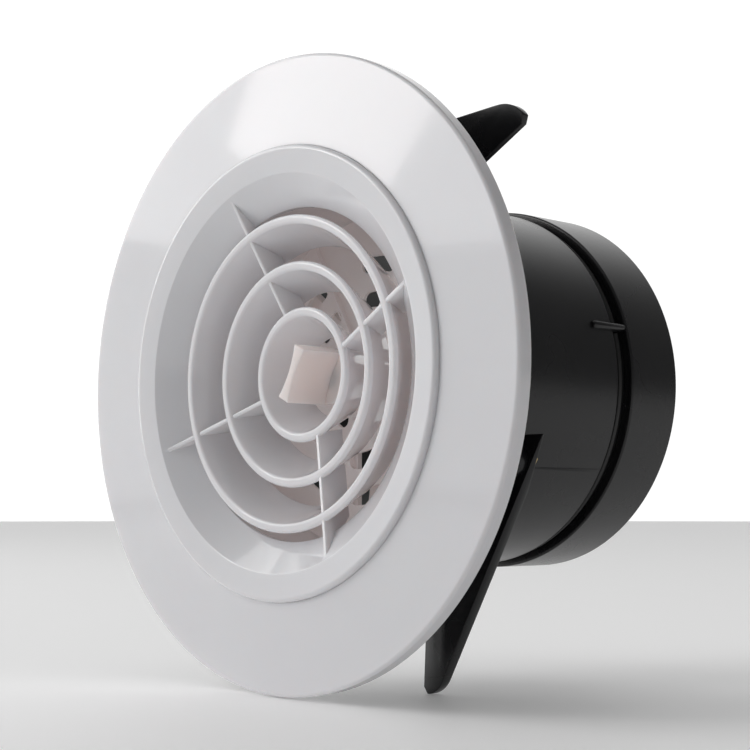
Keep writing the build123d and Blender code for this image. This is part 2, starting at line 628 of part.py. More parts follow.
def wing(pivot, direction, forward):
    """A flat clamp wing: straight outer edge, hollow inner edge, rounded tip, hub at its root."""
    flat = cross_plane(WING_FRONT_Y - forward, direction, pivot)
    hub = cross_plane(WING_HUB_Y - forward, direction, pivot)
    root_corner = (WING_ROOT_U, WING_OUT)
    edge_end = (WING_EDGE_END_U, WING_OUT)
    hollow_start = (WING_HOLLOW_START_U, hollow_v(WING_HOLLOW_START_U))
    hollow_mid = (folded_centre[0], hollow_v(folded_centre[0]))
    hollow_end = (WING_HOLLOW_END_U, hollow_v(WING_HOLLOW_END_U))
    ramp_start = flat.from_local_coords((RAMP_START_U, WING_HUB_R + WING_OUT, -WING_THICK))
    ramp_end_u = WING_ROOT_U - RAMP_START_U
    crease = flat.from_local_coords((*FACET_AT, 0))
    crease_dir = cross_plane(0, direction + FACET_ANGLE)
    with BuildPart() as blade:
        with BuildSketch(flat):
            with BuildLine():
                Line(root_corner, edge_end)
                ThreePointArc(edge_end, WING_TIP_MID, WING_TIP)
                Polyline(WING_TIP, WING_TIP_CORNER, hollow_end)
                ThreePointArc(hollow_end, hollow_mid, hollow_start)
                Polyline(hollow_start, WING_ROOT_IN, root_corner)
            make_face()
        extrude(amount=-WING_THICK)
        with BuildSketch(hub):
            Circle(WING_HUB_R)
        extrude(amount=-WING_HUB_STAND)
        with BuildSketch(Plane(origin=ramp_start, x_dir=flat.x_dir, z_dir=flat.y_dir)):
            with BuildLine():
                Polyline((0, 0), (ramp_end_u, -RAMP_RISE), (ramp_end_u, OVERCUT), (0, OVERCUT), close=True)
            make_face()
        extrude(amount=-2 * (WING_HUB_R + WING_OUT), mode=Mode.SUBTRACT)
        with BuildSketch(Plane(origin=crease, x_dir=crease_dir.y_dir, z_dir=crease_dir.x_dir)):
            with BuildLine():
                Polyline((0, 0), (-FACET_WIDTH, -FACET_DROP), (-FACET_WIDTH, OVERCUT), (0, OVERCUT), close=True)
            make_face()
        extrude(amount=FACET_REACH, both=True, mode=Mode.SUBTRACT)
        with BuildSketch(hub):
            Circle(NUT_R + RUN_CLEARANCE)
        extrude(amount=-(WING_HUB_STAND + WING_THICK), mode=Mode.SUBTRACT)
    return blade.part


for index, pivot in enumerate(PIVOTS):
    number = index + 1
    forward = WING_FORWARD[index]
    direction = WING_DIRECTION + index * 360.0 / WING_COUNT + WING_OPENED[index]
    save(wing(pivot, direction, forward), f"wing_{number}")

    with BuildPart() as clamp_screw:
        with BuildSketch(cross_plane(SCREW_HEAD_Y, 0, pivot)):
            Circle(SCREW_HEAD_R)
        extrude(amount=-SCREW_HEAD_THICK)
        with BuildSketch(cross_plane(FACE_BACK_Y, 0, pivot)):
            Circle(SCREW_R)
        extrude(amount=-(SCREW_END_Y - FACE_BACK_Y))
        with BuildSketch(cross_plane(SCREW_HEAD_Y, 0, pivot)):
            Rectangle(SCREW_HEAD_R * 2 * DRIVE_REACH, DRIVE_WIDTH)
            Rectangle(DRIVE_WIDTH, SCREW_HEAD_R * 2 * DRIVE_REACH)
        extrude(amount=-DRIVE_DEPTH, mode=Mode.SUBTRACT)
    save(clamp_screw.part, f"clamp_screw_{number}")

    with BuildPart() as clamp_nut:
        with BuildSketch(cross_plane(NUT_FRONT_Y - forward, 0, pivot)):
            Circle(NUT_FLARE_R)
        extrude(amount=-NUT_FLARE_THICK)
        with BuildSketch(cross_plane(WING_HUB_Y - AXIAL_GAP - forward, 0, pivot)):
            Circle(NUT_R)
        extrude(amount=-(NUT_FLANGE_Y - WING_HUB_Y + AXIAL_GAP))
        with BuildSketch(cross_plane(NUT_FLANGE_Y - forward, 0, pivot)):
            RegularPolygon(NUT_FLANGE_R, 6)
        extrude(amount=-NUT_FLANGE_THICK)
        with BuildSketch(cross_plane(NUT_FRONT_Y - forward, 0, pivot)):
            Circle(SCREW_R + RUN_CLEARANCE)
        extrude(amount=-(NUT_BACK_Y - NUT_FRONT_Y), mode=Mode.SUBTRACT)
    save(clamp_nut.part, f"clamp_nut_{number}")

    with BuildPart() as screw_clip:
        with BuildSketch(cross_plane(SCREW_CLIP_Y, 0, pivot)):
            Circle(SCREW_R + SCREW_CLIP_WIDTH)
            Circle(SCREW_R, mode=Mode.SUBTRACT)
        extrude(amount=-SCREW_CLIP_THICK)
    save(screw_clip.part, f"screw_clip_{number}")

# ---- countersunk screws that hold the face to the duct body -----------------------------------------
with BuildPart() as face_screws:
    for point in FIXINGS:
        with BuildSketch(cross_plane(FACE_SEAT_Y, 0, point)):
            Circle(FIX_HEAD_R)
        with BuildSketch(cross_plane(FACE_SEAT_Y + FIX_HEAD_THICK, 0, point)):
            Circle(FIX_SHANK_R)
        loft()
    with BuildSketch(cross_plane(FACE_SEAT_Y + FIX_HEAD_THICK)):
        with Locations(*FIXINGS):
            Circle(FIX_SHANK_R)
    extrude(amount=-(BODY_RING_BACK_Y - FACE_SEAT_Y - FIX_HEAD_THICK))
    with BuildSketch(cross_plane(FACE_SEAT_Y)):
        with Locations(*FIXINGS):
            Rectangle(FIX_HEAD_R * 2 * DRIVE_REACH, DRIVE_WIDTH)
            Rectangle(DRIVE_WIDTH, FIX_HEAD_R * 2 * DRIVE_REACH)
    extrude(amount=-DRIVE_DEPTH, mode=Mode.SUBTRACT)
save(face_screws.part, "face_screws")
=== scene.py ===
import json
from math import atan2, cos, pi, radians, sin, sqrt, tan

import bmesh
import bpy
from mathutils import Matrix, Vector


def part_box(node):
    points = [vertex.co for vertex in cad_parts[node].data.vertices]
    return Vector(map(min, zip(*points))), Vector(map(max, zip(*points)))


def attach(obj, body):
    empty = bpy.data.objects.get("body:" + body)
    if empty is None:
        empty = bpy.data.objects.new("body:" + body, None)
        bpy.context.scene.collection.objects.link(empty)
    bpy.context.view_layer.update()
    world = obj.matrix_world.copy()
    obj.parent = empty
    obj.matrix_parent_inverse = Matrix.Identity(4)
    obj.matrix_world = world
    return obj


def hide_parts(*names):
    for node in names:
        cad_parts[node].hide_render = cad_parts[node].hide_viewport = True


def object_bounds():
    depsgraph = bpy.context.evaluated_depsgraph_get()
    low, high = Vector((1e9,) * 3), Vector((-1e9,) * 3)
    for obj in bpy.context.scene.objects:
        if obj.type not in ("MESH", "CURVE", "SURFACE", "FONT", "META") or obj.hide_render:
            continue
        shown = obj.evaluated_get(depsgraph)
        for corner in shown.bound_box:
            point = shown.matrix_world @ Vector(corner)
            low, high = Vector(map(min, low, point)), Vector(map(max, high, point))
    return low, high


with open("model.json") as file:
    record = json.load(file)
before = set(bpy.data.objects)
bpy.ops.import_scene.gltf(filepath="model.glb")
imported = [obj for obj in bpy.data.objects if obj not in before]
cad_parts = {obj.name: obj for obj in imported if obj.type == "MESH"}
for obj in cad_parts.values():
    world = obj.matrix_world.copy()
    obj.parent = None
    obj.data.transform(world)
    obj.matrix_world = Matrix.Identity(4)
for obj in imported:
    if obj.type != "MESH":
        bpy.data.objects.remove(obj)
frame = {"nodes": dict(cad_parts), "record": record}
cad_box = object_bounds()

# Sizes below are in millimetres, as on the part's drawing. Meshes are made in metres.
MM = 0.001
TURN = 2 * pi
LATHE_STEPS = 240        # faces round a turned piece
ARC_STEPS = 6            # faces across a rounded edge
SUPPORT = 0.12           # an extra loop this far from each rounded edge keeps the flats flat
OVERCUT = 1              # how far a cutter passes the surface that it opens

# ---- sizes read from the frame ------------------------------------------------------------------


def node_radius(node):
    """Radius of a round node about the duct axis."""
    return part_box(node)[1].x / MM


def node_span(node, axis="y"):
    """Lowest and highest place of a node along an axis; the duct runs along Y."""
    low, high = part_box(node)
    return getattr(low, axis) / MM, getattr(high, axis) / MM


FACE_R = node_radius("face")
COLLAR_R = node_radius("grille")
BODY_RING_R = node_radius("duct_body")
REAR_COLLAR_R = node_radius("rear_collar")
DISC_R = node_span("knob", "z")[1]
REAR_START_Y, REAR_END_Y = node_span("rear_collar")
BODY_FRONT_Y, NECK_END_Y = node_span("duct_body")
GASKET_START_Y, GASKET_END_Y = node_span("gasket")
KNOB_FRONT_Y, KNOB_END_Y = node_span("knob")

# Sizes that the frame's boxes don't show, from the part's drawing.
COLLAR_STAND = 1.2       # the rear collar stands this proud of the duct
DUCT_WALL = 2.4
NECK_STEP = 1.4          # how far the neck lies below the duct's outside
GROOVE_WIDTH = 4.45
DUCT_R = REAR_COLLAR_R - COLLAR_STAND
DUCT_BORE_R = DUCT_R - DUCT_WALL
NECK_R = DUCT_R - NECK_STEP
GROOVE_Y = REAR_START_Y - GROOVE_WIDTH
BORE_START_Y = 1.8       # behind the bore's chamfer
BORE_CHAMFER = 2.2
COUNTERBORE_Y = -0.4     # floor of the pocket that clears the grille's skirt
POCKET_GAP = 0.7         # between the skirt and the pocket's wall
BODY_RING_BACK_Y = 1.5
RIB_ANGLE = 16
RIB_START_Y = GROOVE_Y - 8.3
RIB_R = 1.1
RIB_OVERLAP = 0.3        # how far the rib runs on to the rear collar
RIB_EDGE = 0.7
SEAM_ANGLE = -29         # faint moulding seam along the duct
SEAM_START_Y = 45
SEAM_LEAD = 1            # length over which the seam rises
SEAM_STAND = 0.07
SEAM_ROOT = 0.5          # how far it runs into the duct's wall
SEAM_HALF = 0.12

RIM_DEPTH = 4.1
FACE_TOP_Y = -4.8
FACE_SEAT_Y = -4.0
FACE_BACK_Y = -2.0
FACE_WALL = 2.0
RIM_WALL = 1.8
MOUTH_R, MOUTH_Y = DUCT_R + 1.0, -5.4
THROAT_R, THROAT_Y = MOUTH_R - 7.8, MOUTH_Y + 6.5
THROAT_END_Y = THROAT_Y + 1.5
CREST_SLOPE = -0.8 / 5.3  # slope of the raised collar's front
CREST_EDGE = 1.6         # rounding of its outer shoulder
FUNNEL_WALL = 1.6
SKIRT_WALL = 1.5
SKIRT_R = MOUTH_R + 0.4
SKIRT_BACK_Y = FACE_SEAT_Y + 3.0
FACE_BORE_R = SKIRT_R + 0.2
RECESS_R = BODY_RING_R + 1.0
GASKET_GAP = 0.5         # between the gasket and the face's walls
GASKET_SLOPE = 0.65      # how much the gasket's front falls back towards the rim

RING_COUNT = 3
RING_OUTER_R = THROAT_R - 3.0
RING_INNER_R = DISC_R + 9.15
RING_FRONT_Y = MOUTH_Y + 3.2
RING_LIP = 2.8
RING_DEPTH = 12.5
RING_TAPER = 6.2
RING_TAIL = 1.3
LIP_SLOPE = 0.245
SPOKE_COUNT = 4
SPOKE_ANGLE = 22
SPOKE_HALF = 0.6
SPOKE_SINK = 0.25
SPOKE_DEPTH = 9.0
SPOKE_ROOT = 0.5         # how far a spoke runs into the funnel and the outer ring
SPOKE_EDGE = 0.35

PIVOT_R = DUCT_R + 5.0
PIVOT_ANGLE = -24
WING_ANGLE = -119
WING_COUNT = 3
WING_OPENED = (0.0, 2.3, 0.0)    # at rest each wing stands this many degrees outside WING_ANGLE
WING_HUB_STAND = 2.8


# ---- mesh helpers ------------------------------------------------------------------------------
def new_object(name, mesh):
    obj = bpy.data.objects.new(name, mesh)
    bpy.context.scene.collection.objects.link(obj)
    return obj


def rounded(points):
    """Closed outline from (a, b, radius) corners, with arcs at the corners and support points."""
    corners = [Vector(p[:2]) for p in points]
    count = len(corners)
    outline = []
    for i, (_, _, radius) in enumerate(points):
        here = corners[i]
        to_prev = corners[i - 1] - here
        to_next = corners[(i + 1) % count] - here
        u, v = to_prev.normalized(), to_next.normalized()
        angle = u.angle(v)
        if radius <= 0 or angle > pi - 0.01:
            outline.append(here)
            continue
        back = radius / tan(angle / 2)
        back = min(back, 0.49 * to_prev.length, 0.49 * to_next.length)
        radius = back * tan(angle / 2)
        centre = here + (u + v).normalized() * (radius / sin(angle / 2))
        start, end = here + u * back, here + v * back
        if to_prev.length - back > 4 * SUPPORT:
            outline.append(start + u * SUPPORT)
        a0 = atan2(start.y - centre.y, start.x - centre.x)
        sweep = atan2(end.y - centre.y, end.x - centre.x) - a0
        sweep = (sweep + pi) % TURN - pi
        for k in range(ARC_STEPS + 1):
            a = a0 + sweep * k / ARC_STEPS
            outline.append(centre + radius * Vector((cos(a), sin(a))))
        if to_next.length - back > 4 * SUPPORT:
            outline.append(end + v * SUPPORT)
    return outline


def lathe(name, points, steps=LATHE_STEPS):
    """Closed ring about the duct axis from (radius, y, rounding) corners."""
    outline = rounded(points)
    area = sum(a.x * b.y - b.x * a.y for a, b in zip(outline, outline[1:] + outline[:1]))
    if area < 0:
        outline.reverse()
    bm = bmesh.new()
    rows = []
    for k in range(steps):
        a = TURN * k / steps
        rows.append([bm.verts.new((p.x * cos(a) * MM, p.y * MM, p.x * sin(a) * MM)) for p in outline])
    for k in range(steps):
        here, there = rows[k], rows[(k + 1) % steps]
        for i in range(len(outline)):
            j = (i + 1) % len(outline)
            bm.faces.new((here[i], here[j], there[j], there[i]))
    bmesh.ops.remove_doubles(bm, verts=bm.verts, dist=0.0001 * MM)
    bmesh.ops.recalc_face_normals(bm, faces=bm.faces)
    mesh = bpy.data.meshes.new(name)
    bm.to_mesh(mesh)
    bm.free()
    return new_object(name, mesh)


def cylinder(name, centre, radius, y0, y1, steps=64):
    """Closed cylinder along the duct, used as a boss, a rib or a cutter."""
    bm = bmesh.new()
    bmesh.ops.create_cone(
        bm, cap_ends=True, segments=steps, radius1=radius * MM, radius2=radius * MM, depth=(y1 - y0) * MM
    )
    turn = Matrix.Rotation(radians(90), 4, "X")
    place = Matrix.Translation((centre[0] * MM, (y0 + y1) / 2 * MM, centre[1] * MM))
    bmesh.ops.transform(bm, matrix=place @ turn, verts=bm.verts)
    mesh = bpy.data.meshes.new(name)
    bm.to_mesh(mesh)
    bm.free()
    return new_object(name, mesh)


def across(angle, centre=(0, 0)):
    """Matrix from (u, v, y) in a plane across the duct to the frame, u along the angle."""
    c, s = cos(radians(angle)), sin(radians(angle))
    return Matrix(((c, -s, 0, centre[0]), (0, 0, 1, 0), (s, c, 0, centre[1]), (0, 0, 0, 1)))


def radial(angle):
    """Matrix from (radius, y, sideways) to the frame, for a slab standing along the duct."""
    c, s = cos(radians(angle)), sin(radians(angle))
    return Matrix(((c, 0, -s, 0), (0, 1, 0, 0), (s, 0, c, 0), (0, 0, 0, 1)))


def arc(start, middle, end, steps):
    """Points of the arc through three points, with both its ends."""
    a, b, c = Vector(start), Vector(middle), Vector(end)
    ab, ac = b - a, c - a
    cross = 2 * (ab.x * ac.y - ab.y * ac.x)
    ux = (ac.y * ab.length_squared - ab.y * ac.length_squared) / cross
    uy = (ab.x * ac.length_squared - ac.x * ab.length_squared) / cross
    centre, radius = a + Vector((ux, uy)), sqrt(ux * ux + uy * uy)
    angles = [atan2(p.y - centre.y, p.x - centre.x) for p in (a, b, c)]
    turn = -1 if cross < 0 else 1
    sweep = (turn * (angles[2] - angles[0])) % TURN * turn
    return [
        centre + radius * Vector((cos(angles[0] + sweep * k / steps), sin(angles[0] + sweep * k / steps)))
        for k in range(steps + 1)
    ]


def prism(outline, low, high, place, cuts=()):
    """Closed prism over an outline. Each cut is a (point, normal) plane that removes its outer side."""
    bm = bmesh.new()
    base = bm.faces.new([bm.verts.new((p[0], p[1], low)) for p in outline])
    top = bmesh.ops.extrude_face_region(bm, geom=[base])["geom"]
    top_verts = [v for v in top if isinstance(v, bmesh.types.BMVert)]
    bmesh.ops.translate(bm, vec=(0, 0, high - low), verts=top_verts)
    for point, normal in cuts:
        everything = bm.verts[:] + bm.edges[:] + bm.faces[:]
        cut = bmesh.ops.bisect_plane(bm, geom=everything, plane_co=point, plane_no=normal, clear_outer=True)
        rim = [e for e in cut["geom_cut"] if isinstance(e, bmesh.types.BMEdge)]
        bmesh.ops.contextual_create(bm, geom=rim)
    bmesh.ops.transform(bm, matrix=Matrix.Scale(MM, 4) @ place, verts=bm.verts)
    bmesh.ops.recalc_face_normals(bm, faces=bm.faces)
    mesh = bpy.data.meshes.new("prism")
    bm.to_mesh(mesh)
    bm.free()
    return new_object("prism", mesh)


def bevel(obj, width, segments=3, angle=30):
    modifier = obj.modifiers.new("bevel", "BEVEL")
    modifier.width = width * MM
    modifier.segments = segments
    modifier.limit_method = "ANGLE"
    modifier.angle_limit = radians(angle)
    apply_modifiers(obj)


def apply_modifiers(obj):
    bpy.context.view_layer.update()
    graph = bpy.context.evaluated_depsgraph_get()
    mesh = bpy.data.meshes.new_from_object(obj.evaluated_get(graph))
    obj.modifiers.clear()
    old = obj.data
    obj.data = mesh
    mesh.name = old.name
    bpy.data.meshes.remove(old)


def combine(obj, others, operation):
    """Exact boolean of obj with others, which are used up."""
    for other in others:
        modifier = obj.modifiers.new("combine", "BOOLEAN")
        modifier.operation = operation
        modifier.solver = "EXACT"
        modifier.object = other
    apply_modifiers(obj)
    for other in others:
        mesh = other.data
        bpy.data.objects.remove(other)
        bpy.data.meshes.remove(mesh)


def smooth(obj, angle=35):
    """Smooth shading with edges kept sharp above the angle."""
    obj.data.shade_smooth()
    obj.data.set_sharp_from_angle(angle=radians(angle))


def polar(radius, angle):
    return radius * cos(radians(angle)), radius * sin(radians(angle))


# ---- materials -----------------------------------------------------------------------------------
def plastic(name, colour, roughness, tint, grain_scale, grain, coat=0.0, subsurface=0.0, glow=0.0):
    """Moulded plastic: faint cloudy colour and roughness, and a fine moulded grain."""
    mat = bpy.data.materials.new(name)
    mat.use_nodes = True
    nodes, links = mat.node_tree.nodes, mat.node_tree.links
    shader = nodes["Principled BSDF"]
    where = nodes.new("ShaderNodeTexCoord")
    cloud = nodes.new("ShaderNodeTexNoise")
    cloud.inputs["Scale"].default_value = 35
    cloud.inputs["Detail"].default_value = 3
    links.new(where.outputs["Object"], cloud.inputs["Vector"])
    colours = nodes.new("ShaderNodeValToRGB")
    colours.color_ramp.elements[0].position = 0.3
    colours.color_ramp.elements[0].color = (*tint, 1)
    colours.color_ramp.elements[1].position = 0.7
    colours.color_ramp.elements[1].color = (*colour, 1)
    links.new(cloud.outputs["Fac"], colours.inputs["Fac"])
    links.new(colours.outputs["Color"], shader.inputs["Base Color"])
    rough = nodes.new("ShaderNodeMapRange")
    rough.inputs["To Min"].default_value = roughness * 0.85
    rough.inputs["To Max"].default_value = roughness * 1.15
    links.new(cloud.outputs["Fac"], rough.inputs["Value"])
    links.new(rough.outputs["Result"], shader.inputs["Roughness"])
    fine = nodes.new("ShaderNodeTexNoise")
    fine.inputs["Scale"].default_value = grain_scale
    fine.inputs["Detail"].default_value = 2
    links.new(where.outputs["Object"], fine.inputs["Vector"])
    bump = nodes.new("ShaderNodeBump")
    bump.inputs["Strength"].default_value = grain
    bump.inputs["Distance"].default_value = 0.00005
    links.new(fine.outputs["Fac"], bump.inputs["Height"])
    links.new(bump.outputs["Normal"], shader.inputs["Normal"])
    shader.inputs["Coat Weight"].default_value = coat
    shader.inputs["Coat Roughness"].default_value = 0.04
    shader.inputs["Subsurface Weight"].default_value = subsurface
    shader.inputs["Subsurface Radius"].default_value = (0.006, 0.0045, 0.004)
    shader.inputs["Subsurface Scale"].default_value = 1.0
    # Glow: emission in the tint's colour, light the surface gives off itself. On the inner white parts and
    # the knob it is painted light that brightens them; on the floor it keeps the floor evenly bright.
    shader.inputs["Emission Color"].default_value = (*tint, 1)
    shader.inputs["Emission Strength"].default_value = glow
    return mat


def metal(name, colour, roughness, streak_scale):
    """Plated metal with fine turning marks."""
    mat = bpy.data.materials.new(name)
    mat.use_nodes = True
    nodes, links = mat.node_tree.nodes, mat.node_tree.links
    shader = nodes["Principled BSDF"]
    shader.inputs["Base Color"].default_value = (*colour, 1)
    shader.inputs["Metallic"].default_value = 1
    where = nodes.new("ShaderNodeTexCoord")
    stretch = nodes.new("ShaderNodeMapping")
    stretch.inputs["Scale"].default_value = (1, 12, 1)
    links.new(where.outputs["Object"], stretch.inputs["Vector"])
    marks = nodes.new("ShaderNodeTexNoise")
    marks.inputs["Scale"].default_value = streak_scale
    marks.inputs["Detail"].default_value = 4
    links.new(stretch.outputs["Vector"], marks.inputs["Vector"])
    rough = nodes.new("ShaderNodeMapRange")
    rough.inputs["To Min"].default_value = roughness * 0.7
    rough.inputs["To Max"].default_value = roughness * 1.4
    links.new(marks.outputs["Fac"], rough.inputs["Value"])
    links.new(rough.outputs["Result"], shader.inputs["Roughness"])
    bump = nodes.new("ShaderNodeBump")
    bump.inputs["Strength"].default_value = 0.15
    bump.inputs["Distance"].default_value = 0.00003
    links.new(marks.outputs["Fac"], bump.inputs["Height"])
    links.new(bump.outputs["Normal"], shader.inputs["Normal"])
    return mat


def foam(name):
    """Closed-cell foam: matt, with small open pores."""
    mat = plastic(
        name, colour=(0.11, 0.11, 0.115), roughness=0.9, tint=(0.07, 0.07, 0.075), grain_scale=900, grain=0.6
    )
    nodes, links = mat.node_tree.nodes, mat.node_tree.links
    where = nodes["Texture Coordinate"]
    pores = nodes.new("ShaderNodeTexVoronoi")
    pores.inputs["Scale"].default_value = 1400
    links.new(where.outputs["Object"], pores.inputs["Vector"])
    bump = nodes["Bump"]
    bump.inputs["Distance"].default_value = 0.0003
    links.new(pores.outputs["Distance"], bump.inputs["Height"])
    return mat


# Each plastic's colour varies softly between colour and tint.
PLASTICS = {
    "white_abs": dict(
        colour=(0.83, 0.82, 0.84), tint=(0.82, 0.805, 0.83), roughness=0.08,
        grain_scale=700, grain=0.02, coat=0.5, subsurface=0.25,
    ),
    # inner_white: its glow is painted light, a faint pinkish glow of its own that brightens the shaded inner
    # parts as light shining through the white plastic would.
    "inner_white": dict(
        colour=(0.82, 0.76, 0.75), tint=(0.79, 0.71, 0.70), roughness=0.3,
        grain_scale=600, grain=0.08, subsurface=0.4, glow=0.07,
    ),
    # knob_nylon: its glow is painted light, a faint glow of its own that brightens the knob where it sits
    # shaded inside the grille.
    "knob_nylon": dict(
        colour=(0.82, 0.75, 0.73), tint=(0.79, 0.71, 0.69), roughness=0.25,
        grain_scale=500, grain=0.1, coat=0.2, subsurface=0.6, glow=0.04,
    ),
    "black_abs": dict(
        colour=(0.009, 0.009, 0.010), tint=(0.007, 0.007, 0.008), roughness=0.27,
        grain_scale=900, grain=0.2,
    ),
    "seal_rubber": dict(
        colour=(0.02, 0.02, 0.02), tint=(0.012, 0.012, 0.012), roughness=0.35,
        grain_scale=1200, grain=0.3,
    ),
}
MATERIALS = {name: plastic(name, **look) for name, look in PLASTICS.items()}
MATERIALS["foam"] = foam("foam")
MATERIALS["bright_steel"] = metal("bright_steel", (0.62, 0.62, 0.64), 0.28, 400)
MATERIALS["brass_nut"] = metal("brass_nut", (0.72, 0.54, 0.26), 0.3, 500)


def finish_piece(obj, body, slot, node):
    """Give a piece its material and body. It is shown in place of the CAD node."""
    obj.data.materials.clear()
    obj.data.materials.append(MATERIALS[slot])
    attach(obj, body)
    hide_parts(node)


# ---- turned and moulded pieces of the housing ------------------------------------------------------
def face_piece():
    obj = lathe("face_plate", [
        (FACE_BORE_R, FACE_BACK_Y, 0.2),
        (FACE_BORE_R, FACE_SEAT_Y, 0.2),
        (COLLAR_R, FACE_SEAT_Y, 0),
        (COLLAR_R, FACE_TOP_Y, 0.2),
        (FACE_R, -RIM_DEPTH, 0.9),
        (FACE_R, 0, 0.3),
        (FACE_R - RIM_WALL, 0, 0.3),
        (FACE_R - RIM_WALL, FACE_WALL - RIM_DEPTH, 0.5),
        (RECESS_R, FACE_TOP_Y + FACE_WALL, 0.4),
        (RECESS_R, FACE_BACK_Y, 0.2),
    ])
    smooth(obj)
    finish_piece(obj, "housing", "white_abs", "face")


def funnel_y(r):
    """Front of the funnel's cone at radius r."""
    return MOUTH_Y + (MOUTH_R - r) * (THROAT_Y - MOUTH_Y) / (MOUTH_R - THROAT_R)


def lip_y(r):
    """Front of the shallow cone on which the ring lips lie."""
    return RING_FRONT_Y + (RING_OUTER_R - r) * LIP_SLOPE


def grille_piece():
    """Raised collar, funnel and skirt in one turning, joined with the louvre rings and spokes."""
    funnel_slope = (THROAT_Y - MOUTH_Y) / (MOUTH_R - THROAT_R)
    wall = FUNNEL_WALL * sqrt(1 + funnel_slope ** 2)
    skirt_in = SKIRT_R - SKIRT_WALL
    throat_back = THROAT_R + (funnel_y(THROAT_R) + wall - THROAT_END_Y) / funnel_slope
    obj = lathe("grille_moulding", [
        (COLLAR_R, FACE_SEAT_Y, 0),
        (COLLAR_R, MOUTH_Y + (COLLAR_R - MOUTH_R) * CREST_SLOPE, CREST_EDGE),
        (MOUTH_R, MOUTH_Y, 0.6),
        (THROAT_R, THROAT_Y, 0.3),
        (THROAT_R, THROAT_END_Y, 0.2),
        (throat_back, THROAT_END_Y, 0.1),
        (skirt_in, funnel_y(skirt_in) + wall, 0.3),
        (skirt_in, SKIRT_BACK_Y, 0.2),
        (SKIRT_R, SKIRT_BACK_Y, 0.2),
        (SKIRT_R, FACE_SEAT_Y, 0),
    ])
    extras = []
    step = (RING_OUTER_R - RING_INNER_R) / (RING_COUNT - 1)
    for i in range(RING_COUNT):
        r = RING_OUTER_R - i * step
        front = lip_y(r)
        back_r = r + RING_LIP / 2 - RING_TAPER
        extras.append(lathe("ring", [
            (r - RING_LIP / 2, front, 0.9),
            (r + RING_LIP / 2, front, 0.9),
            (back_r, front + RING_DEPTH, 0.3),
            (back_r - RING_TAIL, front + RING_DEPTH, 0.3),
        ]))
    foot_r = THROAT_R + SPOKE_ROOT
    end_r = MOUTH_R - SPOKE_ROOT
    for i in range(SPOKE_COUNT):
        spoke = prism([
            (RING_INNER_R, lip_y(RING_INNER_R) + SPOKE_SINK),
            (end_r, lip_y(end_r) + SPOKE_SINK),
            (foot_r, THROAT_Y + SPOKE_SINK),
            (foot_r, THROAT_END_Y - 0.1),
            (RING_OUTER_R - SPOKE_ROOT, lip_y(RING_OUTER_R) + SPOKE_DEPTH),
            (RING_INNER_R - RING_LIP / 2, lip_y(RING_INNER_R) + SPOKE_DEPTH),
        ], -SPOKE_HALF, SPOKE_HALF, radial(SPOKE_ANGLE + i * 360 / SPOKE_COUNT))
        bevel(spoke, SPOKE_EDGE)
        extras.append(spoke)
    combine(obj, extras, "UNION")
    smooth(obj, 30)
    finish_piece(obj, "housing", "white_abs", "grille")


def duct_piece():
    obj = lathe("duct_tube", [
        (DUCT_BORE_R, BORE_START_Y, 0.3),
        (DUCT_BORE_R + BORE_CHAMFER, COUNTERBORE_Y, 0.2),
        (SKIRT_R + POCKET_GAP, COUNTERBORE_Y, 0.2),
        (SKIRT_R + POCKET_GAP, BODY_FRONT_Y, 0.2),
        (BODY_RING_R, BODY_FRONT_Y, 0.2),
        (BODY_RING_R, BODY_RING_BACK_Y, 0.4),
        (DUCT_R, BODY_RING_BACK_Y, 0.9),
        (DUCT_R, GROOVE_Y, 0.3),
        (NECK_R, GROOVE_Y, 0.3),
        (NECK_R, NECK_END_Y, 0),
        (DUCT_BORE_R, NECK_END_Y, 0),
    ])
    rib = cylinder("rib", polar(DUCT_R, RIB_ANGLE), RIB_R, RIB_START_Y, REAR_START_Y + RIB_OVERLAP, 24)
    bevel(rib, RIB_EDGE, 4, 40)
    seam = prism([
        (DUCT_R - SEAM_ROOT, SEAM_START_Y),
        (DUCT_R + SEAM_STAND, SEAM_START_Y + SEAM_LEAD),
        (DUCT_R + SEAM_STAND, GROOVE_Y - 0.4),
        (DUCT_R - SEAM_ROOT, GROOVE_Y - 0.2),
    ], -SEAM_HALF, SEAM_HALF, radial(SEAM_ANGLE))
    combine(obj, [rib, seam], "UNION")
    smooth(obj, 30)
    finish_piece(obj, "housing", "black_abs", "duct_body")


def rear_collar_piece():
    obj = lathe("rear_sleeve", [
        (NECK_R, REAR_START_Y, 0.2),
        (REAR_COLLAR_R, REAR_START_Y, 0.6),
        (REAR_COLLAR_R, REAR_END_Y, 0.6),
        (DUCT_BORE_R, REAR_END_Y, 0.8),
        (DUCT_BORE_R, NECK_END_Y, 0),
        (NECK_R, NECK_END_Y, 0),
    ])
    smooth(obj)
    finish_piece(obj, "housing", "black_abs", "rear_collar")


def gasket_piece():
    outer_r, inner_r = FACE_R - RIM_WALL - GASKET_GAP, RECESS_R + GASKET_GAP
    obj = lathe("foam_ring", [
        (inner_r, GASKET_START_Y, 0.3),
        (outer_r, GASKET_START_Y + GASKET_SLOPE, 0.3),
        (outer_r, GASKET_END_Y, 0.5),
        (inner_r, GASKET_END_Y, 0.5),
    ])
    smooth(obj)
    finish_piece(obj, "housing", "foam", "gasket")


# ---- knob --------------------------------------------------------------------------------------
PADDLE_BACK_Y = KNOB_FRONT_Y + 12.7
PADDLE_ANGLE = 64.5      # direction of the long side at rest
PADDLE_HALF_WIDTH = 2.1
PADDLE_WAIST = 1.0       # how deep each broad side is hollowed
PADDLE_EDGE = 0.45
PADDLE_ROOT = 0.5        # how far the paddle runs into the disc
DISC_BACK_Y = PADDLE_BACK_Y + 2.2
KNOB_HUB_R = 4.6
SPINDLE_R = 3.0
SOCKET_END_Y = PADDLE_BACK_Y + 0.4


